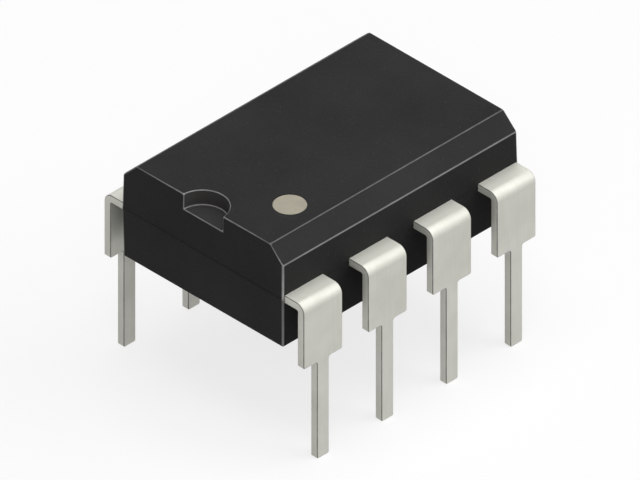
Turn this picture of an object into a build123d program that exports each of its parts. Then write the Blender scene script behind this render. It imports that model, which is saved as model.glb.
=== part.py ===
from build123d import *
import os

# An eight-lead dual in-line chip: a black epoxy moulding around a trimmed and formed lead frame,
# with the silicon chip and its gold wires inside.
# Millimetres, +Z up. The long axis lies along Y with the notched end at -Y, leads 1 to 4 stand on
# the +X side and 5 to 8 on the -X side. The origin is under the middle of the chip, on the plane
# of the lead tips.

# Board grid
PITCH = 2.54
ROW_SPACING = 7.62

# Leads: strip stock, punched to a wide shoulder and a narrow tip, then bent down
LEAD_THICKNESS = 0.25
SHOULDER_WIDTH = 1.52
TIP_WIDTH = 0.46
TIP_LENGTH = 3.30
BEND_INSIDE = 0.05
PUNCH_RADIUS = 0.08
SHOULDER_EDGE = 0.05
TIP_EDGE = 0.04

# Moulding
LOWER_HALF = 1.65
UPPER_HALF = 1.65
STANDOFF = 0.38
LEG_GAP = 0.51
END_WALL = 0.065
MOULD_DRAFT = 1.0
MOULD_RADIUS = 0.06
TOP_CHAMFER = 0.51
NOTCH_RADIUS = 0.762
NOTCH_DEPTH = 0.508
EJECTOR_DIAMETER = 1.90
EJECTOR_DEPTH = 0.08

# Index dot beside lead 1
DOT_DIAMETER = 1.00
DOT_DEPTH = 0.05
DOT_UNDERFILL = 0.01
DOT_FROM_SIDE = 1.50
DOT_FROM_END = 1.77
DOT_EDGE = 0.012

# Lead frame inside the moulding
ROOT_DEPTH = 0.75
LOCK_HOLE = 0.50
LOCK_HOLE_DEPTH = 0.40
FINGER_WIDTH = 0.60
MIDDLE_FINGER_ROOT = 1.00
CORNER_FINGER_STEP = 0.10
CORNER_TIP_X = 0.95
CORNER_TIP_RUN = 0.50
FINGER_GAP = 0.25
PAD_MARGIN = 0.50
PAD_DOWNSET = 0.25
TIE_WIDTH = 0.50
TIE_RAMP = 0.45
TIE_START = 0.20
ANCHOR_LENGTH = 0.60

# Silicon chip and its adhesive
DIE_LENGTH = 1.80
DIE_WIDTH = 1.60
DIE_THICKNESS = 0.30
ATTACH_THICKNESS = 0.03
ATTACH_SPREAD = 0.10
ATTACH_CORNER = 0.15

# Gold wires, drawn with a few flats around their round section
WIRE_DIAMETER = 0.033
WIRE_FLATS = 8
BALL_DIAMETER = 0.085
BALL_HEIGHT = 0.025
STITCH_LENGTH = 0.12
STITCH_WIDTH = 0.09
STITCH_THICKNESS = 0.012
STITCH_INSET = 0.25
STITCH_DIP = 0.03
LOOP_HEIGHT = 0.24
LOOP_TURN = 0.06
LOOP_DROP = 0.05
LOOP_SHARE = 0.68
BOND_PAD_INSET = 0.14
MIDDLE_BOND_Y = 0.38
CORNER_BOND_X = 0.42

# Levels
SEAT_Z = TIP_LENGTH
BOTTOM_Z = SEAT_Z + STANDOFF
PARTING_Z = BOTTOM_Z + LOWER_HALF
TOP_Z = PARTING_Z + UPPER_HALF
FINGER_TOP_Z = PARTING_Z + LEAD_THICKNESS / 2
PAD_Z = PARTING_Z - PAD_DOWNSET
PAD_TOP_Z = PAD_Z + LEAD_THICKNESS / 2
DIE_BASE_Z = PAD_TOP_Z + ATTACH_THICKNESS
DIE_TOP_Z = DIE_BASE_Z + DIE_THICKNESS

# Plan sizes that follow from the grid and the silicon
LEG_X = ROW_SPACING / 2
MIDDLE_Y = PITCH / 2
CORNER_Y = 1.5 * PITCH
BODY_WIDTH = ROW_SPACING - LEAD_THICKNESS - 2 * LEG_GAP
BODY_LENGTH = 2 * CORNER_Y + SHOULDER_WIDTH + 2 * END_WALL
ROOT_X = BODY_WIDTH / 2 - ROOT_DEPTH
PAD_LENGTH = DIE_LENGTH + 2 * PAD_MARGIN
PAD_WIDTH = DIE_WIDTH + 2 * PAD_MARGIN
MIDDLE_TIP_X = PAD_WIDTH / 2 + FINGER_GAP
CORNER_TIP_Y = PAD_LENGTH / 2 + FINGER_GAP


def strip(points, width):
    """Face of a strip of even width along straight runs, with mitred corners."""
    path = [Vector(*point) for point in points]
    headings = [(end - start).normalized() for start, end in zip(path, path[1:])]
    left = []
    right = []
    for i, point in enumerate(path):
        before = headings[max(i - 1, 0)]
        after = headings[min(i, len(headings) - 1)]
        across = (before + after).rotate(Axis.Z, 90).normalized()
        reach = width / 2 / across.dot(before.rotate(Axis.Z, 90))
        left.append(point + across * reach)
        right.append(point - across * reach)
    return make_face(Polyline(*left, *reversed(right), close=True))


def nearest(vertices, x, y):
    """The vertex of a flat outline that lies nearest to a point."""
    return vertices.sort_by_distance((x, y))[0]


def formed_leg():
    """Outer part of a lead: the bent strip, trimmed to the punched shoulder and tip."""
    side = strip([(ROOT_X, PARTING_Z), (LEG_X, PARTING_Z), (LEG_X, 0)], LEAD_THICKNESS)
    half = LEAD_THICKNESS / 2
    inside = nearest(side.vertices(), LEG_X - half, PARTING_Z - half)
    side = fillet(inside, BEND_INSIDE)
    outside = nearest(side.vertices(), LEG_X + half, PARTING_Z + half)
    side = fillet(outside, BEND_INSIDE + LEAD_THICKNESS)
    bent = extrude(Plane.XZ * side, SHOULDER_WIDTH / 2, both=True)

    shoulder_height = FINGER_TOP_Z - SEAT_Z
    shoulder = Pos(0, SEAT_Z + shoulder_height / 2) * Rectangle(SHOULDER_WIDTH, shoulder_height)
    tip = Pos(0, SEAT_Z / 2) * Rectangle(TIP_WIDTH, SEAT_Z)
    outline = shoulder + tip
    step = [nearest(outline.vertices(), s * TIP_WIDTH / 2, SEAT_Z) for s in (-1, 1)]
    outline = fillet(step, PUNCH_RADIUS)
    edge = [nearest(outline.vertices(), s * SHOULDER_WIDTH / 2, SEAT_Z) for s in (-1, 1)]
    outline = chamfer(edge, SHOULDER_EDGE)
    end = [nearest(outline.vertices(), s * TIP_WIDTH / 2, 0) for s in (-1, 1)]
    outline = chamfer(end, TIP_EDGE)
    punched = extrude(Plane.YZ * outline, LEG_X + LEAD_THICKNESS)
    return bent & punched


def lead(row_y, finger):
    """A whole lead on the +X side at row_y, with its inner finger and its mould-lock hole."""
    plate = extrude(Pos(0, 0, PARTING_Z) * finger, LEAD_THICKNESS / 2, both=True)
    hole_x = BODY_WIDTH / 2 - LOCK_HOLE_DEPTH
    hole = Pos(hole_x, row_y, PARTING_Z) * Cylinder(LOCK_HOLE / 2, 2 * LEAD_THICKNESS)
    return Pos(0, row_y) * formed_leg() + plate - hole


def middle_finger():
    """Straight, tapered finger from a middle lead to the long side of the pad."""
    root = (ROOT_X, MIDDLE_Y - MIDDLE_FINGER_ROOT / 2), (ROOT_X, MIDDLE_Y + MIDDLE_FINGER_ROOT / 2)
    tip = (MIDDLE_TIP_X, MIDDLE_Y + FINGER_WIDTH / 2), (MIDDLE_TIP_X, MIDDLE_Y - FINGER_WIDTH / 2)
    return make_face(Polyline(*root, *tip, close=True))


def corner_finger():
    """Finger that turns from a corner lead to the short side of the pad."""
    root_y = CORNER_Y - SHOULDER_WIDTH / 2 + CORNER_FINGER_STEP + FINGER_WIDTH / 2
    inside_root = (ROOT_X + FINGER_WIDTH / 2, root_y)
    turn = (CORNER_TIP_X, CORNER_TIP_Y + CORNER_TIP_RUN)
    return strip([inside_root, turn, (CORNER_TIP_X, CORNER_TIP_Y)], FINGER_WIDTH)


def die_pad():
    """Down-set pad with a tie bar to the plain end and an anchor tab towards the notch."""
    edge_y = PAD_LENGTH / 2
    tie = [(0, PAD_Z), (edge_y + TIE_START, PAD_Z)]
    tie += [(edge_y + TIE_START + TIE_RAMP, PARTING_Z), (BODY_LENGTH / 2, PARTING_Z)]
    anchor = [(0, PAD_Z), (-edge_y - ANCHOR_LENGTH, PAD_Z)]
    pad = Pos(0, 0, PAD_Z) * Box(PAD_WIDTH, PAD_LENGTH, LEAD_THICKNESS)
    for route in (tie, anchor):
        pad += extrude(Plane.YZ * strip(route, LEAD_THICKNESS), TIE_WIDTH / 2, both=True)
    return pad


def die_attach():
    """Thin adhesive layer that spreads a little past the silicon."""
    spread = RectangleRounded(
        DIE_WIDTH + 2 * ATTACH_SPREAD, DIE_LENGTH + 2 * ATTACH_SPREAD, ATTACH_CORNER
    )
    return extrude(Pos(0, 0, PAD_TOP_Z) * spread, ATTACH_THICKNESS)


def die():
    """Sawn silicon chip."""
    return Pos(0, 0, DIE_BASE_Z + DIE_THICKNESS / 2) * Box(DIE_WIDTH, DIE_LENGTH, DIE_THICKNESS)


def stitch():
    """Flattened end of a wire, fanned out along the wire's own direction."""
    neck = WIRE_DIAMETER / 2
    back = STITCH_LENGTH / 2
    fan = STITCH_WIDTH / 2
    return make_face(Polyline((-back, -neck), (back, -fan), (back, fan), (-back, neck), close=True))


def bond_wire(start, end, finger):
    """Gold wire from a ball on the silicon at start, over a loop, to a stitch on a finger at end."""
    ball_at = Vector(*start, DIE_TOP_Z)
    stitch_at = Vector(*end, FINGER_TOP_Z)
    span = Vector(*end) - Vector(*start)
    knee_at = ball_at + span * LOOP_SHARE + Vector(0, 0, LOOP_HEIGHT - LOOP_DROP)
    slope = stitch_at - knee_at
    route = [
        ball_at + Vector(0, 0, BALL_HEIGHT / 2),
        ball_at + Vector(0, 0, LOOP_HEIGHT - LOOP_TURN),
        ball_at + Vector(0, 0, LOOP_HEIGHT) + span.normalized() * LOOP_TURN,
        knee_at,
        stitch_at + slope * (STITCH_DIP / -slope.Z),
    ]
    section = RegularPolygon(WIRE_DIAMETER / 2, WIRE_FLATS)
    wire = sweep(Plane(route[0]) * section, Polyline(*route), transition=Transition.RIGHT) - finger
    wire += extrude(Plane(ball_at) * RegularPolygon(BALL_DIAMETER / 2, WIRE_FLATS), BALL_HEIGHT)
    return wire + extrude(Plane(stitch_at, x_dir=span) * stitch(), STITCH_THICKNESS)


def block_half(height):
    """Half of the moulding above its parting plane, drafted, with sharp edges."""
    return extrude(Rectangle(BODY_WIDTH, BODY_LENGTH), height, taper=MOULD_DRAFT)


def body(inserts, dot_x, dot_y):
    """Epoxy moulding around everything that it holds."""
    upper = block_half(UPPER_HALF)
    upper = chamfer(upper.faces().sort_by(Axis.Z)[-1].edges().filter_by(Axis.Y), TOP_CHAMFER)
    upper -= Pos(0, -BODY_LENGTH / 2, UPPER_HALF) * Cylinder(NOTCH_RADIUS, 2 * NOTCH_DEPTH)
    upper = fillet(upper.edges().group_by(Axis.Z)[1:], MOULD_RADIUS)
    lower = block_half(LOWER_HALF)
    lower = mirror(fillet(lower.edges().group_by(Axis.Z)[1:], MOULD_RADIUS), Plane.XY)
    moulding = Pos(0, 0, PARTING_Z) * (upper + lower)
    moulding -= Pos(dot_x, dot_y, TOP_Z) * Cylinder(DOT_DIAMETER / 2, 2 * DOT_DEPTH)
    moulding -= Pos(0, 0, BOTTOM_Z) * Cylinder(EJECTOR_DIAMETER / 2, 2 * EJECTOR_DEPTH)
    for insert in inserts:
        moulding -= insert
    return moulding


def pin_1_dot(dot_x, dot_y):
    """Disc of ink that nearly fills the dimple."""
    thickness = DOT_DEPTH - DOT_UNDERFILL
    disc = Pos(dot_x, dot_y, TOP_Z - DOT_DEPTH + thickness / 2) * Cylinder(DOT_DIAMETER / 2, thickness)
    return chamfer(disc.edges().sort_by(Axis.Z)[-1], DOT_EDGE)


def mirrored(piece, side, end):
    """A piece of the +X, +Y quarter carried to the quarter on that side and end."""
    if side < 0:
        piece = mirror(piece, Plane.YZ)
    if end < 0:
        piece = mirror(piece, Plane.XZ)
    return piece


def lead_number(side, end, is_corner):
    """Number of a lead, counted from the notch along the +X side and back along the other."""
    from_notch = (2, 1)[is_corner] if end < 0 else (3, 4)[is_corner]
    return from_notch if side > 0 else 9 - from_notch


def lead_frame():
    """The eight leads and their wires, by number."""
    middle = lead(MIDDLE_Y, middle_finger())
    corner = lead(CORNER_Y, corner_finger())
    middle_start = (DIE_WIDTH / 2 - BOND_PAD_INSET, MIDDLE_BOND_Y)
    corner_start = (CORNER_BOND_X, DIE_LENGTH / 2 - BOND_PAD_INSET)
    middle_wire = bond_wire(middle_start, (MIDDLE_TIP_X + STITCH_INSET, MIDDLE_Y), middle)
    corner_wire = bond_wire(corner_start, (CORNER_TIP_X, CORNER_TIP_Y + STITCH_INSET), corner)
    kinds = {True: (corner, corner_wire), False: (middle, middle_wire)}
    leads = {}
    wires = {}
    for side in (1, -1):
        for end in (1, -1):
            for is_corner, (piece, wire) in kinds.items():
                number = lead_number(side, end, is_corner)
                leads[number] = mirrored(piece, side, end)
                wires[number] = mirrored(wire, side, end)
    return leads, wires


def main():
    """Builds every piece and writes one file for each."""
    leads, wires = lead_frame()
    dot_x = BODY_WIDTH / 2 - DOT_FROM_SIDE
    dot_y = -BODY_LENGTH / 2 + DOT_FROM_END
    pieces = {"die_pad": die_pad(), "die_attach": die_attach(), "die": die()}
    for number in sorted(leads):
        pieces[f"lead_{number}"] = leads[number]
    for number in sorted(wires):
        pieces[f"bond_wire_{number}"] = wires[number]
    pieces["body"] = body(list(pieces.values()), dot_x, dot_y)
    pieces["pin_1_dot"] = pin_1_dot(dot_x, dot_y)

    os.makedirs("parts", exist_ok=True)
    for name, piece in pieces.items():
        piece.label = name
        export_step(piece, f"parts/{name}.step")


main()
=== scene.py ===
"""The looks of an eight-lead dual in-line chip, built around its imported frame.

New pieces are shaped in millimetres with mesh operators and scaled once to metres. The long axis lies
along Y with the notched end at -Y, and leads 1 to 4 stand on the +X side.
"""

from __future__ import annotations

import logging
import math
from abc import ABC, abstractmethod
from collections.abc import Callable, Iterator, Sequence
from contextlib import contextmanager
from dataclasses import dataclass, field
from enum import Enum
from typing import ClassVar

import bmesh
import bpy
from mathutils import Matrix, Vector


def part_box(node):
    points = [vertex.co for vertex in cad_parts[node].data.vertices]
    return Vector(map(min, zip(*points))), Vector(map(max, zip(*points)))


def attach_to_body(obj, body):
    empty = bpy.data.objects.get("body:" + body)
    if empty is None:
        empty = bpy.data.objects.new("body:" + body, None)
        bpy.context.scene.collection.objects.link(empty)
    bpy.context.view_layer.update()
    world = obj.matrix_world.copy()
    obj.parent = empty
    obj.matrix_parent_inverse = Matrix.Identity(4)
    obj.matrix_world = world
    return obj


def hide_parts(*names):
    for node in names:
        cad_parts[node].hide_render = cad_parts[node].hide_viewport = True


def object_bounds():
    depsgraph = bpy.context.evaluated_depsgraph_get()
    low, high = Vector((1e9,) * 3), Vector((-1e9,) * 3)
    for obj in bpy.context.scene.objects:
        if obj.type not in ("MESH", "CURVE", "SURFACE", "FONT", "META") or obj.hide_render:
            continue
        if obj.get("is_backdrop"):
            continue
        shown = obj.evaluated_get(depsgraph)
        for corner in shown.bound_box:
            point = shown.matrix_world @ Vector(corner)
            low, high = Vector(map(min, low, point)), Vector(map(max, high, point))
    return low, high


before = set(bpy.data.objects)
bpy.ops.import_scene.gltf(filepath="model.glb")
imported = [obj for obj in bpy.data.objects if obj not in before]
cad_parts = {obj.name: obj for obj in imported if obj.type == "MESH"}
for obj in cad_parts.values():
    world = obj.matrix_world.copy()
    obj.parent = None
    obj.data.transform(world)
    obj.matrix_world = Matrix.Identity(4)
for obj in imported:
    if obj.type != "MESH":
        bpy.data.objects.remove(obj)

LOG = logging.getLogger("chip")
MM = 0.001
NEAR = 1e-4
FACING = 0.999
FLAT_DEGREES = 0.2
PLACE_DIGITS = 4
EDGE_ATTRIBUTE = "edge"
PAINTED_LIGHT_ATTRIBUTE = "skin"
STRIP_SLOT = 1
QUARTERS = ((1, 1), (1, -1), (-1, 1), (-1, -1))
NOISE_SPAN = (0.3, 0.7)
WHITE = (1.0, 1.0, 1.0, 1.0)
PHOTO_WIDTH_PX = 640
PHOTO_PX_PER_MM = 35.884

Point = Sequence[float]
Span = tuple[float, float]
Tone = tuple[int, int, int]
Test = Callable[[Vector, Vector], bool]
Object = bpy.types.Object
Socket = bpy.types.NodeSocket
Sockets = bpy.types.bpy_prop_collection
Value = float | Sequence[float] | Socket
Wiring = dict[str, Value]


class Element(Enum):
    """What an edit works on: its name in bmesh, and the two facts a test is told of each."""

    VERT = ("verts", lambda item: (item.co, item.normal))
    EDGE = ("edges", lambda item: (item.verts[0].co, item.verts[1].co))
    FACE = ("faces", lambda item: (item.calc_center_median(), item.normal))


VERT, EDGE, FACE = Element


class LeadKind(Enum):
    """The two shapes of lead, each with the numbers of its leads in the order of QUARTERS."""

    MIDDLE = (3, 2, 6, 7)
    CORNER = (4, 1, 5, 8)


def linear(tone: Tone) -> tuple[float, ...]:
    """Turns a screen colour, in levels up to 255, into a shader's by the standard screen curve."""
    levels = [level / 255 for level in tone]
    return (*(v / 12.92 if v <= 0.04045 else ((v + 0.055) / 1.055) ** 2.4 for v in levels), 1.0)


def box_mm(node: str) -> tuple[Vector, Vector]:
    """Gives a CAD node's lowest and highest corners in millimetres."""
    low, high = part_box(node)
    return low / MM, high / MM


def deselect() -> None:
    """Deselects every object."""
    bpy.ops.object.select_all(action="DESELECT")


def link(obj: Object) -> None:
    """Puts an object into the scene."""
    bpy.context.scene.collection.objects.link(obj)


def only(obj: Object) -> None:
    """Selects one object, makes it active and deselects everything else.

    Args:
        obj: The object.
    """
    deselect()
    obj.select_set(True)
    bpy.context.view_layer.objects.active = obj


def place_of(at: Vector) -> tuple[float, ...]:
    """Gives a point's place to a tenth of a micron, to find the same point again."""
    return tuple(round(c, PLACE_DIGITS) for c in at)


def direction(azimuth: float, elevation: float) -> Vector:
    """Gives the way from the chip to a point, with azimuth 0 at -Y and 90 at +X, in degrees."""
    a, e = math.radians(azimuth), math.radians(elevation)
    return Vector((math.sin(a) * math.cos(e), -math.cos(a) * math.cos(e), math.sin(e)))


class Workpiece:
    """One mesh on the bench, shaped in millimetres with Blender's own operators."""

    def __init__(self) -> None:
        """Takes over the active object, which is also the only one selected."""
        self.obj: Object = bpy.context.active_object
        while len(self.obj.data.materials) <= STRIP_SLOT:
            self.obj.data.materials.append(None)
        bpy.ops.object.transform_apply(location=True, rotation=True, scale=True)

    @classmethod
    def block(cls, low: Point, high: Point) -> Workpiece:
        """Adds a block between two corners.

        Args:
            low: Its lowest corner.
            high: Its highest corner.

        Returns:
            The new workpiece.
        """
        deselect()
        span = Vector(high) - Vector(low)
        middle = (Vector(high) + Vector(low)) / 2
        bpy.ops.mesh.primitive_cube_add(size=1, calc_uvs=False, location=middle, scale=span)
        return cls()

    @classmethod
    def rod(cls, centre: Point, radius: float, height: float, sides: int) -> Workpiece:
        """Adds an upright round bar.

        Args:
            centre: Its middle.
            radius: Its radius.
            height: Its height.
            sides: How many flats stand for its round side.

        Returns:
            The new workpiece.
        """
        deselect()
        bpy.ops.mesh.primitive_cylinder_add(
            vertices=sides, radius=radius, depth=height, calc_uvs=False, location=centre
        )
        return cls()

    @classmethod
    def mould_of(cls, nodes: Sequence[Object]) -> Workpiece:
        """Adds one mesh from copies of metre-sized objects, to cut their room with.

        Args:
            nodes: The objects that are copied.

        Returns:
            The new workpiece.
        """
        deselect()
        copies = [bpy.data.objects.new("held", node.data.copy()) for node in nodes]
        for copy in copies:
            link(copy)
            copy.select_set(True)
        bpy.context.view_layer.objects.active = copies[0]
        bpy.ops.object.join()
        bpy.context.active_object.scale = (1 / MM,) * 3
        made = cls()
        with made.edit():
            bpy.ops.mesh.select_all(action="SELECT")
            bpy.ops.mesh.remove_doubles(threshold=NEAR)
        return made

    @contextmanager
    def edit(self) -> Iterator[None]:
        """Holds the piece in edit mode for the length of a with block."""
        only(self.obj)
        bpy.ops.object.mode_set(mode="EDIT")
        try:
            yield
        finally:
            bpy.ops.object.mode_set(mode="OBJECT")

    def pick(self, element: Element, test: Test) -> None:
        """Selects the faces, edges or vertices that pass a test, and nothing else.

        Args:
            element: What is picked.
            test: Asked with a face's middle and normal, an edge's two ends, or a vertex's place and
                normal.
        """
        items, facts = element.value
        bpy.ops.mesh.select_mode(type=element.name)
        bpy.ops.mesh.select_all(action="DESELECT")
        mesh = bmesh.from_edit_mesh(self.obj.data)
        for item in getattr(mesh, items):
            if test(*facts(item)):
                item.select_set(True)
        bmesh.update_edit_mesh(self.obj.data)

    def pick_sharp(self, degrees: float) -> None:
        """Selects the edges at which the surface turns by more than an angle, and nothing else."""
        self.pick(EDGE, lambda a, b: False)
        bpy.ops.mesh.edges_select_sharp(sharpness=math.radians(degrees))

    def extrude(self, offset: Point) -> None:
        """Pulls the picked faces out along an offset."""
        bpy.ops.mesh.extrude_region_move(TRANSFORM_OT_translate={"value": tuple(offset)})

    def resize(self, factors: Point, centre: Point) -> None:
        """Scales what is picked about a centre."""
        bpy.ops.transform.resize(value=factors, center_override=centre)

    def slice(self, at: Point, to: Point, trim: bool = False) -> None:
        """Cuts the picked faces along a plane, and takes off what lies past it if trim is asked."""
        bpy.ops.mesh.bisect(plane_co=at, plane_no=to, use_fill=trim, clear_outer=trim, threshold=NEAR)

    def round_edges(self, radius: float, steps: int) -> None:
        """Rounds the picked edges over, or breaks them flat in one step.

        Args:
            radius: How far from the edge the rounding starts.
            steps: How many flats it has. Its new faces are the only ones in the strip slot.
        """
        for face in bmesh.from_edit_mesh(self.obj.data).faces:
            face.material_index = 0
        bpy.ops.mesh.bevel(offset=radius, segments=steps, affect="EDGES", material=STRIP_SLOT)

    def merge_flat(self) -> None:
        """Joins faces that lie in one plane, and drops the points left along their straight edges."""
        bpy.ops.mesh.select_all(action="SELECT")
        bpy.ops.mesh.dissolve_limited(angle_limit=math.radians(FLAT_DEGREES))

    def mark_crest(self, levels: Sequence[float], where: Test | None = None) -> None:
        """Writes how far each point of the strips rounded last lies up on an edge's crest.

        Args:
            levels: The value of each further row of points, from the strip's side to its middle.
            where: Asked for each point with its place and normal, to mark some of the edges alone.
        """
        mesh = bmesh.from_edit_mesh(self.obj.data)
        floats = mesh.verts.layers.float
        layer = floats.get(EDGE_ATTRIBUTE) or floats.new(EDGE_ATTRIBUTE)
        slots = {v: {f.material_index for f in v.link_faces} for v in mesh.verts}
        inside = {v for v, used in slots.items() if used == {STRIP_SLOT}}
        row = {v for v, used in slots.items() if STRIP_SLOT in used and v not in inside}
        found = {}
        for level in levels:
            row = {edge.other_vert(v) for v in row for edge in v.link_edges} & inside
            inside -= row
            found.update(dict.fromkeys(row, level))
        found.update(dict.fromkeys(inside, levels[-1]))
        for vertex, level in found.items():
            if where is None or where(vertex.co, vertex.normal):
                vertex[layer] = level
        bmesh.update_edit_mesh(self.obj.data)

    def mark_painted_light(self, level: float) -> None:
        """Writes how much painted light makes the surface paler at the picked points.

        Args:
            level: 1 at the palest.
        """
        mesh = bmesh.from_edit_mesh(self.obj.data)
        floats = mesh.verts.layers.float
        layer = floats.get(PAINTED_LIGHT_ATTRIBUTE) or floats.new(PAINTED_LIGHT_ATTRIBUTE)
        for vertex in mesh.verts:
            if vertex.select:
                vertex[layer] = level
        bmesh.update_edit_mesh(self.obj.data)

    def cut(self, tool: Workpiece, many: bool = False) -> None:
        """Takes another workpiece's shape out of this one, and clears that other away.

        The boolean gives new points the marks of other ones, so the marks are put back by place.

        Args:
            tool: The shape that is taken out.
            many: Whether that shape is several closed ones that touch.
        """
        mesh = self.obj.data
        marks = {}
        for name in (EDGE_ATTRIBUTE, PAINTED_LIGHT_ATTRIBUTE):
            if name in mesh.attributes:
                pairs = zip(mesh.vertices, mesh.attributes[name].data)
                marks[name] = {place_of(v.co): item.value for v, item in pairs if item.value > 0}
        only(self.obj)
        boolean = self.obj.modifiers.new("cut", "BOOLEAN")
        boolean.operation = "DIFFERENCE"
        boolean.solver = "EXACT"
        boolean.use_self = many
        boolean.object = tool.obj
        bpy.ops.object.modifier_apply(modifier=boolean.name)
        bpy.data.objects.remove(tool.obj)
        for name, known in marks.items():
            for vertex, item in zip(mesh.vertices, mesh.attributes[name].data):
                item.value = known.get(place_of(vertex.co), 0.0)

    def copy(self, side: int, end: int) -> Workpiece:
        """Copies the piece into another quarter, with a mesh of its own.

        Args:
            side: 1 for the +X side, or -1 to mirror it to the other.
            end: 1 for the +Y end, or -1 to mirror it to the other.

        Returns:
            The copy.
        """
        obj = bpy.data.objects.new("copy", self.obj.data.copy())
        link(obj)
        only(obj)
        made = Workpiece()
        with made.edit():
            bpy.ops.mesh.select_all(action="SELECT")
            made.resize((side, end, 1), (0, 0, 0))
            bpy.ops.mesh.remove_doubles(threshold=NEAR)
            bpy.ops.mesh.normals_make_consistent(inside=False)
        return made

    def finish(self, name: str, smooth_below: float) -> Object:
        """Scales the piece to metres and shades it with flat faces flat and rounded edges smooth.

        Args:
            name: The piece's name.
            smooth_below: The widest angle in degrees between two faces that shade as one.

        Returns:
            The finished object.
        """
        only(self.obj)
        self.obj.name = self.obj.data.name = name
        self.obj.scale = (MM,) * 3
        bpy.ops.object.transform_apply(location=True, rotation=True, scale=True)
        bpy.ops.object.shade_smooth_by_angle(angle=math.radians(smooth_below))
        weighted = self.obj.modifiers.new("flat_faces", "WEIGHTED_NORMAL")
        weighted.keep_sharp = True
        weighted.weight = 100
        bpy.ops.object.modifier_apply(modifier=weighted.name)
        return self.obj


@dataclass
class Tree:
    """A node tree while it is being wired, with its coordinates in metres and a group's inputs."""

    tree: bpy.types.NodeTree
    at: Socket | None = None
    given: Sockets | None = None

    @classmethod
    def of(cls, owner: bpy.types.Material | bpy.types.World) -> Tree:
        """Starts the tree of a material or a world afresh.

        Args:
            owner: The material or world.

        Returns:
            Its empty tree.
        """
        owner.use_nodes = True
        owner.node_tree.nodes.clear()
        return cls(owner.node_tree)

    def feed(self, socket: Socket, value: Value) -> None:
        """Links a socket to another one, or sets it to a plain value.

        Args:
            socket: The socket that is fed.
            value: The other socket or the plain value.
        """
        if isinstance(value, Socket):
            self.tree.links.new(value, socket)
        else:
            socket.default_value = value

    def add(self, kind: str, inputs: dict | None = None, **settings: object) -> bpy.types.Node:
        """Adds a node.

        Args:
            kind: The node's type, without its ShaderNode prefix.
            inputs: Values or sockets for its inputs, by name or number.
            **settings: Its own properties.

        Returns:
            The node.
        """
        node = self.tree.nodes.new(f"ShaderNode{kind}")
        for name, setting in settings.items():
            setattr(node, name, setting)
        for name, value in (inputs or {}).items():
            self.feed(node.inputs[name], value)
        return node

    def math(self, operation: str, *values: Value) -> Socket:
        """Adds a Math node on up to three values and gives its result."""
        return self.add("Math", dict(enumerate(values)), operation=operation).outputs[0]

    def lift(self, value: Value, gain: float, base: Value) -> Socket:
        """Gives a base plus a gain times a value."""
        return self.math("MULTIPLY_ADD", value, gain, base)

    def mix(self, share: Value, first: Value, second: Value) -> Socket:
        """Mixes two numbers, with the second alone at a share of 1."""
        return self.add("Mix", {0: share, 2: first, 3: second}).outputs[0]

    def blend(self, share: Value, first: Socket | Tone, second: Socket | Tone) -> Socket:
        """Mixes two colours, with the second alone at a share of 1."""
        ends = [linear(end) if isinstance(end, tuple) else end for end in (first, second)]
        return self.add("Mix", {0: share, 6: ends[0], 7: ends[1]}, data_type="RGBA").outputs[2]

    def spread(self, value: Value, span: Span, onto: Span = (0.0, 1.0)) -> Socket:
        """Maps a span of values onto another, and holds what lies past its ends at them."""
        names = ("Value", "From Min", "From Max", "To Min", "To Max")
        return self.add("MapRange", dict(zip(names, (value, *span, *onto)))).outputs["Result"]

    def vector(self, operation: str, first: Value, second: Value) -> Socket:
        """Adds a Vector Math node on two vectors and gives its vector result."""
        return self.add("VectorMath", {0: first, 1: second}, operation=operation).outputs[0]

    def scaled(self, vector: Value, factor: Value) -> Socket:
        """Gives a vector times a factor."""
        return self.add("VectorMath", {0: vector, "Scale": factor}, operation="SCALE").outputs[0]

    def cells(self, size: Value) -> Socket:
        """Gives the coordinates counted in cells of a size in millimetres."""
        return self.scaled(self.at, self.math("DIVIDE", 1 / MM, size))

    def noise(self, vector: Value, detail: float, roughness: float = 0.5) -> Socket:
        """Adds a Noise texture of cell size 1 and gives its value."""
        given = {"Vector": vector, "Scale": 1.0, "Detail": detail, "Roughness": roughness}
        return self.add("TexNoise", given).outputs[0]

    def mark(self, attribute: str) -> Socket:
        """Gives the level that a piece marks at its points."""
        return self.add("Attribute", attribute_name=attribute).outputs["Fac"]

    def bump(self, height: Value, depth: float) -> Socket:
        """Adds a Bump node whose full height is a depth in millimetres, and gives its normal."""
        return self.add("Bump", {"Strength": 1.0, "Distance": depth * MM, "Height": height}).outputs[0]

    def seen(self) -> Socket:
        """Finds the rays that show a backdrop itself: to the camera, in gloss and through glass.

        Returns:
            1 for such rays and 0 for others.
        """
        path = self.add("LightPath").outputs
        either = self.math("MAXIMUM", path["Is Camera Ray"], path["Is Glossy Ray"])
        return self.math("MAXIMUM", either, path["Is Transmission Ray"])


class Pattern(ABC):
    """A pattern of nodes under a name."""

    name: ClassVar[str]

    @abstractmethod
    def wire(self, tree: Tree) -> Wiring:
        """Wires the pattern.

        Args:
            tree: The tree of a group or of a material.

        Returns:
            What feeds each output of the group, or each input of the shader that the finish sets.
        """


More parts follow.
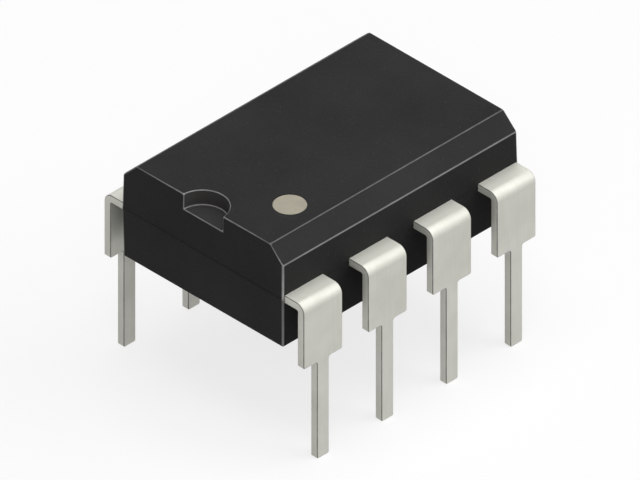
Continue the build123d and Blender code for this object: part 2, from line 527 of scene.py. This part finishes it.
class Effect(Pattern):
    """A surface effect that several finishes share, kept as one node group."""

    inputs: ClassVar[tuple[str, ...]]

    def build(self) -> bpy.types.NodeTree:
        """Builds the node group.

        Returns:
            The group.
        """
        made = bpy.data.node_groups.new(self.name, "ShaderNodeTree")
        made.interface.new_socket(name="Vector", in_out="INPUT", socket_type="NodeSocketVector")
        for name in self.inputs:
            made.interface.new_socket(name=name, in_out="INPUT", socket_type="NodeSocketFloat")
        given = made.nodes.new("NodeGroupInput").outputs
        tree = Tree(made, given["Vector"], given)
        wired = self.wire(tree)
        for name in wired:
            made.interface.new_socket(name=name, in_out="OUTPUT", socket_type="NodeSocketFloat")
        results = made.nodes.new("NodeGroupOutput")
        for name, value in wired.items():
            tree.feed(results.inputs[name], value)
        return made

    def place(self, tree: Tree, **values: Value) -> Sockets:
        """Places the group in a material with its own values, and gives the placed node's outputs."""
        group = bpy.data.node_groups.get(self.name) or self.build()
        return tree.add("Group", {"Vector": tree.at, **values}, node_tree=group).outputs


class FineGrain(Effect):
    """Small even grain, as a matte mould or a matte plating leaves it."""

    name = "fine_grain"
    inputs = ("Size", "Softness")

    def wire(self, tree: Tree) -> Wiring:
        """Wires two noises, one of them about three times finer.

        Args:
            tree: The group's tree, given the size of a grain in millimetres and its softness.

        Returns:
            The grain from 0 to 1, and a height of the same span.
        """
        at = tree.cells(tree.given["Size"])
        fine = tree.noise(tree.scaled(at, factor=3.1), detail=1.0)
        mixed = tree.mix(tree.given["Softness"], fine, tree.noise(at, detail=1.0))
        return {"Grain": tree.spread(mixed, NOISE_SPAN), "Height": mixed}


class SlowDrift(Effect):
    """Wide, soft patches, as resin flow or handling leaves them."""

    name = "slow_drift"
    inputs = ("Patch", "Seed")

    def wire(self, tree: Tree) -> Wiring:
        """Wires one wide noise.

        Args:
            tree: The group's tree, given a patch's size in millimetres and a seed that shifts it.

        Returns:
            The drift from 0 to 1.
        """
        shift = tree.add("CombineXYZ", {"X": tree.given["Seed"]}).outputs[0]
        moved = tree.vector("ADD", tree.cells(tree.given["Patch"]), shift)
        return {"Drift": tree.spread(tree.noise(moved, detail=3.0), NOISE_SPAN)}


class EdgeRub(Effect):
    """Rubbed edges: the crest that the mesh marks, broken up along its length."""

    name = "edge_rub"
    inputs = ("Edge", "Break", "Evenness")

    def wire(self, tree: Tree) -> Wiring:
        """Wires the marked crest times a noise.

        Args:
            tree: The group's tree, given the crest, the length of a break in millimetres and how
                even the rubbing is, from 0 to 1.

        Returns:
            The mask from 0 to 1.
        """
        noise = tree.noise(tree.cells(tree.given["Break"]), detail=3.0, roughness=0.7)
        even = tree.mix(tree.given["Evenness"], tree.spread(noise, span=(0.35, 0.6)), 1.0)
        return {"Mask": tree.math("MULTIPLY", even, tree.given["Edge"])}


class RolledLines(Effect):
    """Fine lines along a rolled strip, which runs across X and down Z."""

    name = "rolled_lines"
    inputs = ("Width", "Length")

    def wire(self, tree: Tree) -> Wiring:
        """Wires a noise that is narrow across the strip and long down it.

        Args:
            tree: The group's tree, given a line's width and length in millimetres.

        Returns:
            The lines from 0 to 1.
        """
        across = tree.math("DIVIDE", 1 / MM, tree.given["Width"])
        down = tree.math("DIVIDE", 1 / MM, tree.given["Length"])
        cells = tree.add("CombineXYZ", {"X": down, "Y": across, "Z": down}).outputs[0]
        at = tree.vector("MULTIPLY", tree.at, cells)
        return {"Lines": tree.spread(tree.noise(at, detail=2.0), NOISE_SPAN)}


@dataclass(frozen=True)
class Finish(Pattern):
    """A surface finish, which makes one material."""

    def dress(self, *pieces: Object) -> None:
        """Makes the material and gives it alone to some pieces.

        Args:
            *pieces: The pieces.
        """
        made = bpy.data.materials.new(self.name)
        tree = Tree.of(made)
        tree.at = tree.add("TexCoord").outputs["Object"]
        shader = tree.add("BsdfPrincipled", self.wire(tree))
        tree.add("OutputMaterial", {"Surface": shader.outputs[0]})
        for piece in pieces:
            piece.data.materials.clear()
            piece.data.materials.append(made)


@dataclass(frozen=True)
class MouldedEpoxy(Finish):
    """Black moulding compound: matte, finely grained, with pale rubbed edges and painted light."""

    name = "moulded_epoxy"
    deep: Tone = (41, 41, 41)
    pale: Tone = (49, 49, 49)
    rubbed: Tone = (176, 176, 174)
    filler: Tone = (74, 74, 72)
    painted_light_tone: Tone = (74, 73, 72)

    def wire(self, tree: Tree) -> Wiring:
        """Wires flow patches, grain, filler specks, painted light on the chamfers and notch, and
        rubbed edges.

        Args:
            tree: The material's tree.

        Returns:
            The shader's inputs.
        """
        drift = SlowDrift().place(tree, Patch=2.6)["Drift"]
        grain = FineGrain().place(tree, Size=0.07, Softness=0.6)
        base = tree.blend(drift, self.deep, self.pale)
        specks = tree.spread(grain["Grain"], span=(0.78, 1.0), onto=(0.0, 0.5))
        base = tree.blend(specks, base, self.filler)
        # Painted light: the chamfers paler as a painted sheen, the notch's wall and floor paler
        # against the shade inside it.
        base = tree.blend(tree.mark(PAINTED_LIGHT_ATTRIBUTE), base, self.painted_light_tone)
        # The rubbed edges are wear, painted darker on the top ridges and brighter on the upright
        # corners because of how the lamps fall.
        rub = EdgeRub().place(tree, Edge=tree.mark(EDGE_ATTRIBUTE), Break=0.5, Evenness=0.75)["Mask"]
        rough = tree.lift(grain["Grain"], gain=0.1, base=0.42)
        return {
            "Base Color": tree.blend(rub, base, self.rubbed),
            "Roughness": tree.lift(rub, gain=0.1, base=rough),
            "Specular IOR Level": 0.045,
            "Normal": tree.bump(grain["Height"], depth=0.007),
        }


@dataclass(frozen=True)
class TinPlate(Finish):
    """Matte tin plating on rolled strip: warm pale grey with fine lines and dull sheared edges."""

    name = "matte_tin"
    bright: Tone = (226, 226, 217)
    dull: Tone = (214, 214, 204)
    edge: Tone = (66, 65, 62)
    bare: Tone = (176, 122, 92)
    bare_height: float = 0.012

    def wire(self, tree: Tree) -> Wiring:
        """Wires rolled lines, plating patches, the sheared edges and the bare cut tips.

        Args:
            tree: The material's tree.

        Returns:
            The shader's inputs.
        """
        lines = RolledLines().place(tree, Width=0.035, Length=1.4)["Lines"]
        drift = SlowDrift().place(tree, Patch=0.9, Seed=4.0)["Drift"]
        grain = FineGrain().place(tree, Size=0.04, Softness=0.4)
        tone = tree.mix(share=0.35, first=drift, second=lines)
        base = tree.blend(tone, self.bright, self.dull)
        rub = EdgeRub().place(tree, Edge=tree.mark(EDGE_ATTRIBUTE), Break=0.3, Evenness=0.8)["Mask"]
        up = tree.add("SeparateXYZ", {0: tree.at}).outputs["Z"]
        cut_end = tree.math("LESS_THAN", up, self.bare_height * MM)
        rough = tree.lift(grain["Grain"], gain=0.06, base=0.5)
        height = tree.lift(grain["Height"], gain=0.6, base=lines)
        return {
            "Base Color": tree.blend(cut_end, tree.blend(rub, base, self.edge), self.bare),
            "Metallic": 0.4,
            "Roughness": tree.lift(drift, gain=0.1, base=rough),
            "Normal": tree.bump(height, depth=0.0012),
        }


@dataclass(frozen=True)
class MarkingInk(Finish):
    """Beige marking ink, printed a little thick, with pinholes."""

    name = "marking_ink"
    full: Tone = (182, 176, 159)
    thin: Tone = (166, 160, 144)
    rim: Tone = (54, 52, 48)

    def wire(self, tree: Tree) -> Wiring:
        """Wires thick and thin patches, fine grain and a rim that thins out.

        Args:
            tree: The material's tree.

        Returns:
            The shader's inputs.
        """
        drift = SlowDrift().place(tree, Patch=0.35, Seed=9.0)["Drift"]
        grain = FineGrain().place(tree, Size=0.03, Softness=0.5)
        patches = tree.lift(drift, gain=0.6, base=0.0)
        base = tree.blend(tree.lift(grain["Grain"], gain=0.3, base=patches), self.full, self.thin)
        rim = EdgeRub().place(tree, Edge=tree.mark(EDGE_ATTRIBUTE), Break=0.2, Evenness=0.8)["Mask"]
        return {
            "Base Color": tree.blend(rim, base, self.rim),
            "Roughness": tree.lift(grain["Grain"], gain=0.15, base=0.5),
            "Specular IOR Level": 0.3,
            "Normal": tree.bump(grain["Height"], depth=0.003),
        }


@dataclass(frozen=True)
class CopperAlloy(Finish):
    """Bare copper alloy of the lead frame, with rolled lines and dull patches."""

    name = "lead_frame_copper"
    bright: Tone = (214, 150, 112)
    dull: Tone = (150, 96, 68)

    def wire(self, tree: Tree) -> Wiring:
        """Wires rolled lines and oxide patches.

        Args:
            tree: The material's tree.

        Returns:
            The shader's inputs.
        """
        lines = RolledLines().place(tree, Width=0.03, Length=1.0)["Lines"]
        drift = SlowDrift().place(tree, Patch=0.5, Seed=2.0)["Drift"]
        tone = tree.mix(share=0.4, first=drift, second=lines)
        return {
            "Base Color": tree.blend(tone, self.bright, self.dull),
            "Metallic": 0.9,
            "Roughness": tree.lift(drift, gain=0.15, base=0.35),
            "Normal": tree.bump(lines, depth=0.0015),
        }


@dataclass(frozen=True)
class SilverAdhesive(Finish):
    """Silver-filled die adhesive, a pale paste with flakes."""

    name = "silver_adhesive"
    paste: Tone = (150, 148, 142)
    flake: Tone = (206, 204, 198)

    def wire(self, tree: Tree) -> Wiring:
        """Wires flakes in the paste.

        Args:
            tree: The material's tree.

        Returns:
            The shader's inputs.
        """
        grain = FineGrain().place(tree, Size=0.025, Softness=0.3)
        flakes = tree.spread(grain["Grain"], span=(0.55, 0.75))
        return {
            "Base Color": tree.blend(flakes, self.paste, self.flake),
            "Metallic": tree.lift(flakes, gain=0.7, base=0.0),
            "Roughness": 0.55,
            "Normal": tree.bump(grain["Height"], depth=0.002),
        }


@dataclass(frozen=True)
class CircuitSilicon(Finish):
    """Finished silicon: dark glassy oxide over blocks of fine metal tracks."""

    name = "circuit_silicon"
    bulk: Tone = (74, 78, 88)
    block: Tone = (112, 96, 128)
    track: Tone = (168, 160, 140)
    block_size: float = 0.22
    track_pitch: float = 0.018

    def wire(self, tree: Tree) -> Wiring:
        """Wires blocks of circuit and the tracks over them.

        Args:
            tree: The material's tree.

        Returns:
            The shader's inputs.
        """
        size = {"Vector": tree.at, "Scale": 1 / (self.block_size * MM)}
        cells = tree.add("TexVoronoi", size, distance="CHEBYCHEV").outputs["Color"]
        channels = tree.add("SeparateColor", {"Color": cells}).outputs
        bands_per_scale = 20
        wave = {"Vector": tree.at, "Scale": 1 / (self.track_pitch * MM) / bands_per_scale}
        rows = tree.add("TexWave", wave, bands_direction="X").outputs["Fac"]
        columns = tree.add("TexWave", wave, bands_direction="Y").outputs["Fac"]
        tracks = tree.mix(tree.math("GREATER_THAN", channels["Green"], 0.5), rows, columns)
        share = tree.math("MULTIPLY", tree.spread(tracks, span=(0.45, 0.55)), channels["Blue"])
        base = tree.blend(channels["Red"], self.bulk, self.block)
        return {
            "Base Color": tree.blend(share, base, self.track),
            "Metallic": tree.lift(share, gain=0.8, base=0.0),
            "Roughness": tree.lift(share, gain=0.15, base=0.15),
        }


@dataclass(frozen=True)
class GoldWire(Finish):
    """Drawn gold wire."""

    name = "gold_wire_drawn"
    bright: Tone = (242, 196, 104)
    dull: Tone = (222, 172, 84)

    def wire(self, tree: Tree) -> Wiring:
        """Wires a faint change of tone along the wire."""
        drift = SlowDrift().place(tree, Patch=0.08, Seed=6.0)["Drift"]
        return {
            "Base Color": tree.blend(drift, self.bright, self.dull),
            "Metallic": 1.0,
            "Roughness": tree.lift(drift, gain=0.1, base=0.22),
        }


@dataclass
class LeadFrame:
    """The eight formed leads with their fingers, modelled twice and carried to each quarter."""

    thickness: float = 0.25
    shoulder_width: float = 1.52
    tip_width: float = 0.46
    tip_length: float = 3.30
    bend_inside: float = 0.05
    bend_steps: int = 8
    punch_radius: float = 0.08
    punch_steps: int = 5
    shoulder_edge: float = 0.05
    tip_edge: float = 0.04
    corner_steps: int = 2
    sheared_edge: float = 0.025
    sheared_steps: int = 3
    root_depth: float = 0.75
    lock_hole: float = 0.50
    lock_hole_depth: float = 0.40
    lock_hole_sides: int = 48
    finger_width: float = 0.60
    middle_finger_root: float = 1.00
    corner_finger_step: float = 0.10
    corner_tip_run: float = 0.50
    sharp_above: float = 40.0
    smooth_below: float = 50.0
    finish: TinPlate = field(default_factory=TinPlate)

    def __post_init__(self) -> None:
        """Takes the places from the frame."""
        middle_low, middle_high = box_mm("lead_3")
        corner_low, corner_high = box_mm("lead_4")
        self.top_z = corner_high.z
        self.under_z = self.top_z - self.thickness
        self.bend_x = corner_high.x - self.thickness - self.bend_inside
        self.bend_z = self.under_z - self.bend_inside
        self.side_x = box_mm("body")[1].x
        self.root_x = self.side_x - self.root_depth
        self.middle_y = (middle_low.y + middle_high.y) / 2
        self.middle_tip_x = middle_low.x
        self.corner_y = corner_high.y - self.shoulder_width / 2
        self.corner_tip = Vector((corner_low.x + self.finger_width / 2, corner_low.y, 0))

    def formed_leg(self, row_y: float) -> Workpiece:
        """Bends the strip down and punches the shoulder and the tip.

        Args:
            row_y: The middle of the lead along the row.

        Returns:
            The leg, cut square at its root.
        """
        half = self.shoulder_width / 2
        tip = self.tip_width / 2
        low = (self.root_x, row_y - half, self.under_z)
        leg = Workpiece.block(low, (self.bend_x, row_y + half, self.top_z))
        with leg.edit():
            leg.pick(FACE, lambda at, n: n.x > FACING)
            bend = (self.bend_x, row_y, self.bend_z)
            bpy.ops.mesh.spin(steps=self.bend_steps, angle=math.pi / 2, center=bend, axis=(0, -1, 0))
            leg.pick(FACE, lambda at, n: n.z < -FACING and abs(at.z - self.bend_z) < NEAR)
            leg.extrude((0, 0, self.tip_length - self.bend_z))
            for side in (-1, 1):
                leg.pick(FACE, lambda at, n: at.z < self.bend_z - NEAR)
                leg.slice((0, row_y + side * tip, 0), (0, 1, 0))
            leg.pick(FACE, lambda at, n: at.z < self.tip_length + NEAR and abs(at.y - row_y) < tip)
            leg.extrude((0, 0, -self.tip_length))
            leg.merge_flat()
            for out, level, radius, steps in (
                (tip, self.tip_length, self.punch_radius, self.punch_steps),
                (half, self.tip_length, self.shoulder_edge, self.corner_steps),
                (tip, 0.0, self.tip_edge, self.corner_steps),
            ):
                leg.pick(
                    EDGE,
                    lambda a, b: abs(a.z - level) + abs(b.z - level) + abs(a.y - b.y) < NEAR
                    and abs(abs(a.y - row_y) - out) < NEAR,
                )
                leg.round_edges(radius, steps)
        return leg

    def middle_finger(self, leg: Workpiece) -> None:
        """Pulls a straight, tapered finger out of a middle lead's root.

        Args:
            leg: The lead.
        """
        half = self.middle_finger_root / 2
        with leg.edit():
            for side in (-1, 1):
                leg.pick(FACE, lambda at, n: at.x < self.bend_x)
                leg.slice((0, self.middle_y + side * half, 0), (0, 1, 0))
            leg.pick(FACE, lambda at, n: abs(at.x - self.root_x) + abs(at.y - self.middle_y) < NEAR)
            leg.extrude((self.middle_tip_x - self.root_x, 0, 0))
            centre = (self.middle_tip_x, self.middle_y, self.top_z)
            leg.resize((1, self.finger_width / self.middle_finger_root, 1), centre)
            leg.merge_flat()

    def corner_finger(self, leg: Workpiece) -> None:
        """Runs a finger out of a corner lead's root, round a mitred turn to the pad's short side.

        Args:
            leg: The lead.
        """
        half = self.finger_width / 2
        inner_y = self.corner_y - self.shoulder_width / 2
        first = Vector((self.root_x + half, inner_y + self.corner_finger_step + half, 0))
        turn = self.corner_tip + Vector((0, self.corner_tip_run, 0))
        heading = (turn - first).normalized()
        across = Vector((heading.y, -heading.x, 0)) * half
        outer = first + across
        outer += heading * ((self.root_x - outer.x) / heading.x)
        inner = first - across
        inner += heading * ((inner_y - inner.y) / heading.y)
        last_heading = Vector((0, -1, 0))
        mitre = (heading + last_heading).normalized()
        root = Vector((inner.y - outer.y, outer.x - inner.x, 0)).normalized()
        reach = (turn - first).length + self.finger_width
        with leg.edit():
            leg.pick(FACE, lambda at, n: at.x < self.bend_x)
            leg.slice(outer, root, trim=True)
            for facing, way, stop, stop_facing in (
                (root, heading, turn, mitre),
                (mitre, last_heading, self.corner_tip, last_heading),
            ):
                leg.pick(FACE, lambda at, n: n.dot(facing) > FACING and at.x < self.bend_x)
                start = bmesh.from_edit_mesh(leg.obj.data)
                base = next(f.calc_center_median() for f in start.faces if f.select)
                leg.extrude(way * reach)
                leg.pick(FACE, lambda at, n: (at - base).dot(facing) > NEAR)
                leg.slice(stop, stop_facing, trim=True)
            leg.merge_flat()

    def model(self, kind: LeadKind) -> Workpiece:
        """Models one lead of the +X, +Y quarter.

        Args:
            kind: Which of the two leads it is.

        Returns:
            The lead, with its sheared edges broken and marked.
        """
        row_y = self.middle_y if kind is LeadKind.MIDDLE else self.corner_y
        leg = self.formed_leg(row_y)
        if kind is LeadKind.MIDDLE:
            self.middle_finger(leg)
        else:
            self.corner_finger(leg)
        with leg.edit():
            leg.pick_sharp(self.sharp_above)
            leg.round_edges(self.sheared_edge, self.sheared_steps)
            leg.mark_crest((1.0,))
        hole = (self.side_x - self.lock_hole_depth, row_y, (self.top_z + self.under_z) / 2)
        leg.cut(Workpiece.rod(hole, self.lock_hole / 2, 2 * self.thickness, self.lock_hole_sides))
        return leg

    def build(self) -> list[Object]:
        """Builds and dresses all eight leads.

        Returns:
            The leads, from 1 to 8.
        """
        leads = {}
        for kind in LeadKind:
            pattern = self.model(kind)
            for number, (side, end) in zip(kind.value, QUARTERS):
                lead = pattern.copy(side, end).finish(f"formed_lead_{number}", self.smooth_below)
                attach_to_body(lead, "root")
                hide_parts(f"lead_{number}")
                leads[number] = lead
            bpy.data.objects.remove(pattern.obj)
        self.finish.dress(*leads.values())
        return [leads[number] for number in sorted(leads)]


@dataclass
class Moulding:
    """The epoxy moulding around the lead frame."""

    draft: float = 1.0
    edge_radius: float = 0.06
    edge_steps: int = 6
    chamfer: float = 0.51
    notch_radius: float = 0.762
    notch_depth: float = 0.508
    ejector_diameter: float = 1.90
    ejector_depth: float = 0.08
    flash_height: float = 0.03
    flash_reach: float = 0.012
    tie_bar_width: float = 0.50
    tie_bar_height: float = 0.25
    notch_sides: int = 48
    round_sides: int = 96
    crest: tuple[float, ...] = (0.0, 0.3, 1.0)
    # Wear on the top ridges, painted darker as shade against the lamp's sheen, and on the upright
    # corners, painted brighter as a highlight.
    ridge_wear_and_painted_shade: tuple[float, ...] = (0.0, 0.1, 0.5)
    corner_wear_and_painted_highlight: tuple[float, ...] = (0.6, 1.0, 1.0)
    corner_share: float = 0.9
    corner_gap: float = 0.02
    chamfer_rise: float = 0.6
    chamfer_slack: float = 0.04
    # Painted sheen: how much paler the chamfers are painted.
    chamfer_painted_sheen: float = 0.18
    # Painted light: how much paler the notch's wall and floor are painted against the shade inside it.
    notch_wall_painted_light: float = 1.0
    floor_rise: float = 0.9
    notch_floor_painted_light: float = 0.5
    sharp_above: float = 20.0
    smooth_below: float = 30.0
    finish: MouldedEpoxy = field(default_factory=MouldedEpoxy)

    def __post_init__(self) -> None:
        """Takes the places from the frame."""
        self.low, self.high = box_mm("body")
        self.parting_z = (self.low.z + self.high.z) / 2
        self.slope = math.tan(math.radians(self.draft))

    def block(self) -> Workpiece:
        """Blocks out the two drafted halves and the long top chamfers.

        Returns:
            The block, with sharp edges.
        """
        block = Workpiece.block(self.low, self.high)
        height = (self.high.z - self.low.z) / 2
        inset = height * self.slope
        factors = (1 - inset / self.high.x, 1 - inset / self.high.y, 1)
        with block.edit():
            bpy.ops.mesh.select_all(action="SELECT")
            block.slice((0, 0, self.parting_z), (0, 0, 1))
            block.pick(VERT, lambda at, n: abs(at.z - self.parting_z) > height / 2)
            block.resize(factors, (0, 0, self.parting_z))
            block.pick(EDGE, lambda a, b: min(a.z, b.z) > self.high.z - NEAR and abs(a.x - b.x) < NEAR)
            block.round_edges(self.chamfer, 1)
        return block

    def at_corner(self, at: Vector) -> bool:
        """Tells whether a point lies on the rounding of one of the four upright edges."""
        inset = abs(at.z - self.parting_z) * self.slope + self.corner_share * self.edge_radius
        return (
            at.z < self.high.z - self.chamfer - self.corner_gap
            and abs(at.x) > self.high.x - inset
            and abs(at.y) > self.high.y - inset
        )

    def at_ridge(self, at: Vector) -> bool:
        """Tells whether a point lies on an edge between the top face and a chamfer."""
        on_top = at.z > self.high.z - self.edge_radius
        return on_top and abs(abs(at.x) - self.high.x + self.chamfer) < 2 * self.edge_radius

    def on_chamfer(self, normal: Vector) -> bool:
        """Tells whether a face with a normal is one of the chamfers or the ends of their rounding."""
        return abs(abs(normal.x) - normal.z) < self.chamfer_slack and normal.z > self.chamfer_rise

    def in_notch(self, at: Vector) -> bool:
        """Tells whether a point lies on the notch's wall or floor."""
        floor, top = self.high.z - self.notch_depth - NEAR, self.high.z - self.edge_radius / 2
        return floor < at.z < top and math.hypot(at.x, at.y - self.low.y) < self.notch_radius + NEAR

    def shape_outside(self, block: Workpiece) -> None:
        """Rounds the edges, marks wear and painted light, and raises the bead along the parting plane.

        Args:
            block: The block.
        """
        with block.edit():
            block.pick_sharp(self.sharp_above)
            block.round_edges(self.edge_radius, self.edge_steps)
            block.mark_crest(self.crest)
            # Ridges and upright corners get their wear with painted shade and a painted highlight.
            block.mark_crest(self.ridge_wear_and_painted_shade, lambda at, n: self.at_ridge(at))
            block.mark_crest(self.corner_wear_and_painted_highlight, lambda at, n: self.at_corner(at))
            # The chamfers are painted paler as a sheen.
            block.pick(FACE, lambda at, n: self.on_chamfer(n))
            block.mark_painted_light(self.chamfer_painted_sheen)
            # The notch's wall and floor are painted paler against the shade inside it.
            block.pick(VERT, lambda at, n: self.in_notch(at))
            block.mark_painted_light(self.notch_wall_painted_light)
            block.pick(VERT, lambda at, n: self.in_notch(at) and n.z > self.floor_rise)
            block.mark_painted_light(self.notch_floor_painted_light)
            block.pick(EDGE, lambda a, b: abs(a.z - self.parting_z) + abs(b.z - self.parting_z) < NEAR)
            block.round_edges(self.flash_height / 2, 1)
            reach = {"value": self.flash_reach}
            bpy.ops.mesh.extrude_region_shrink_fatten(TRANSFORM_OT_shrink_fatten=reach)

    def build(self, held: Sequence[Object]) -> Object:
        """Builds and dresses the moulding.

        Args:
            held: Everything that the moulding is cast around.

        Returns:
            The moulding.
        """
        block = self.block()
        notch = (0, self.low.y, self.high.z)
        block.cut(Workpiece.rod(notch, self.notch_radius, 2 * self.notch_depth, self.notch_sides))
        self.shape_outside(block)
        dot_low, dot_high = box_mm("pin_1_dot")
        dot = (dot_low + dot_high) / 2
        for centre, radius, depth in (
            ((dot.x, dot.y, self.high.z), (dot_high.x - dot_low.x) / 2, self.high.z - dot_low.z),
            ((0, 0, self.low.z), self.ejector_diameter / 2, self.ejector_depth),
        ):
            block.cut(Workpiece.rod(centre, radius, 2 * depth, self.round_sides))
        reach = Vector((self.tie_bar_width / 2, 2 * self.flash_reach, self.tie_bar_height / 2))
        flush = Vector((0, self.high.y + reach.y, self.parting_z))
        block.cut(Workpiece.block(flush - reach, flush + reach))
        block.cut(Workpiece.mould_of(held), many=True)
        moulding = block.finish("moulding", self.smooth_below)
        self.finish.dress(moulding)
        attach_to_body(moulding, "root")
        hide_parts("body")
        return moulding


@dataclass
class IndexDot:
    """The printed dot beside lead 1."""

    crown: float = 0.004
    crown_rings: int = 3
    rim: float = 0.024
    rim_steps: int = 3
    sides: int = 96
    smooth_below: float = 50.0
    finish: MarkingInk = field(default_factory=MarkingInk)

    def build(self) -> Object:
        """Builds and dresses the dot.

        Returns:
            The dot.
        """
        low, high = box_mm("pin_1_dot")
        radius = (high.x - low.x) / 2
        dot = Workpiece.rod((low + high) / 2, radius, high.z - low.z, self.sides)
        with dot.edit():
            dot.pick(EDGE, lambda a, b: min(a.z, b.z) > high.z - NEAR)
            dot.round_edges(self.rim, self.rim_steps)
            dot.mark_crest((1.0,))
            ring = radius / (self.crown_rings + 2)
            for _ in range(self.crown_rings):
                dot.pick(FACE, lambda at, n: n.z > FACING)
                bpy.ops.mesh.inset(thickness=ring, depth=self.crown / self.crown_rings)
        made = dot.finish("ink_dot", self.smooth_below)
        self.finish.dress(made)
        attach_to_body(made, "root")
        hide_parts("pin_1_dot")
        return made


@dataclass
class Insides:
    """What the moulding holds beside the leads: CAD nodes that keep their shape."""

    pad: CopperAlloy = field(default_factory=CopperAlloy)
    attach: SilverAdhesive = field(default_factory=SilverAdhesive)
    silicon: CircuitSilicon = field(default_factory=CircuitSilicon)
    gold: GoldWire = field(default_factory=GoldWire)

    def dress(self) -> list[Object]:
        """Dresses the pad, the adhesive, the silicon and the wires.

        Returns:
            The dressed nodes.
        """
        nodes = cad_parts
        wires = [nodes[name] for name in sorted(nodes) if name.startswith("bond_wire_")]
        self.pad.dress(nodes["die_pad"])
        self.attach.dress(nodes["die_attach"])
        self.silicon.dress(nodes["die"])
        self.gold.dress(*wires)
        return [nodes["die_pad"], nodes["die_attach"], nodes["die"], *wires]


@dataclass(frozen=True)
class Lamp:
    """A square soft lamp. Its level is the share of plain white that it gives a face turned to it."""

    name: str
    azimuth: float
    elevation: float
    level: float
    size: float = 0.16
    distance: float = 0.30

    def hang(self, target: Vector) -> None:
        """Hangs the lamp.

        Args:
            target: The point that it looks at.
        """
        data = bpy.data.lights.new(self.name, "AREA")
        data.size = self.size
        data.energy = self.level * math.pi**2 * self.distance**2
        lamp = bpy.data.objects.new(self.name, data)
        link(lamp)
        way = direction(self.azimuth, self.elevation)
        lamp.location = target + way * self.distance
        lamp.rotation_mode = "QUATERNION"
        lamp.rotation_quaternion = way.to_track_quat("Z", "Y")
        lamp.visible_camera = False


@dataclass
class Studio:
    """Floor, lamps, sky and camera, around the point that the camera and the lamps look at."""

    target: Vector
    floor_size: float = 1.2
    floor_level: float = 0.25
    floor_glow: float = 0.77
    floor_bounce: float = 0.14
    sky_level: float = 0.10
    azimuth: float = 45.0
    elevation: float = math.degrees(math.atan(math.sqrt(0.5)))
    camera_distance: float = 0.2
    camera_clip: Span = (0.001, 10.0)
    lamps: tuple[Lamp, ...] = (
        Lamp("overhead_lamp", 90.0, 88.0, 0.59, 0.24),
        Lamp("far_side_lamp", 135.0, 36.0, 0.38, 0.22),
        Lamp("camera_side_lamp", 45.0, 35.0, 0.16, 0.24, 0.45),
    )

    def build_floor(self) -> None:
        """Lays a white floor that keeps soft shadows and is clear from below."""
        deselect()
        bpy.ops.mesh.primitive_plane_add(size=self.floor_size, location=(0, 0, -MM * NEAR))
        floor = bpy.context.active_object
        floor.name = "floor"
        material = bpy.data.materials.new("floor_white")
        tree = Tree.of(material)
        matte = tree.add("BsdfDiffuse", {"Color": (self.floor_level,) * 3 + (1.0,)})
        strength = tree.mix(tree.seen(), self.floor_bounce, self.floor_glow)
        glow = tree.add("Emission", {"Color": WHITE, "Strength": strength})
        top = tree.add("AddShader", {0: matte.outputs[0], 1: glow.outputs[0]})
        clear = tree.add("BsdfTransparent")
        back = tree.add("NewGeometry").outputs["Backfacing"]
        both = tree.add("MixShader", {0: back, 1: top.outputs[0], 2: clear.outputs[0]})
        tree.add("OutputMaterial", {"Surface": both.outputs[0]})
        floor.data.materials.append(material)
        floor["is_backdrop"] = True

    def build_sky(self) -> None:
        """Sets a white backdrop that lights the chip as a dim sky."""
        world = bpy.context.scene.world = bpy.data.worlds.new("studio_sky")
        tree = Tree.of(world)
        colour = tree.mix(tree.seen(), self.sky_level, 1.0)
        sky = tree.add("Background", {"Color": colour, "Strength": 1.0})
        tree.add("OutputWorld", {"Surface": sky.outputs[0]})

    def build_camera(self) -> None:
        """Sets a parallel camera at the photograph's true isometric angle."""
        data = bpy.data.cameras.new("camera")
        data.type = "ORTHO"
        data.ortho_scale = PHOTO_WIDTH_PX / PHOTO_PX_PER_MM * MM
        data.clip_start, data.clip_end = self.camera_clip
        camera = bpy.data.objects.new("camera", data)
        link(camera)
        back = direction(self.azimuth, self.elevation)
        camera.location = self.target + back * self.camera_distance
        camera.rotation_mode = "QUATERNION"
        camera.rotation_quaternion = (-back).to_track_quat("-Z", "Y")
        bpy.context.scene.camera = camera

    def build(self) -> None:
        """Builds the studio."""
        bpy.context.scene.view_settings.view_transform = "Standard"
        self.build_camera()
        self.build_floor()
        self.build_sky()
        for lamp in self.lamps:
            lamp.hang(self.target)


def main() -> None:
    """Builds the studio and every piece, in order."""
    logging.basicConfig(level=logging.INFO, format="%(message)s")
    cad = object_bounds()
    Studio((cad[0] + cad[1]) / 2).build()
    insides = Insides().dress()
    leads = LeadFrame().build()
    dot = IndexDot().build()
    moulding = Moulding().build([*leads, *insides])
    for piece in (*insides, *leads, dot, moulding):
        LOG.info("%s: %d faces", piece.name, len(piece.data.polygons))


if __name__ == "__main__":
    main()
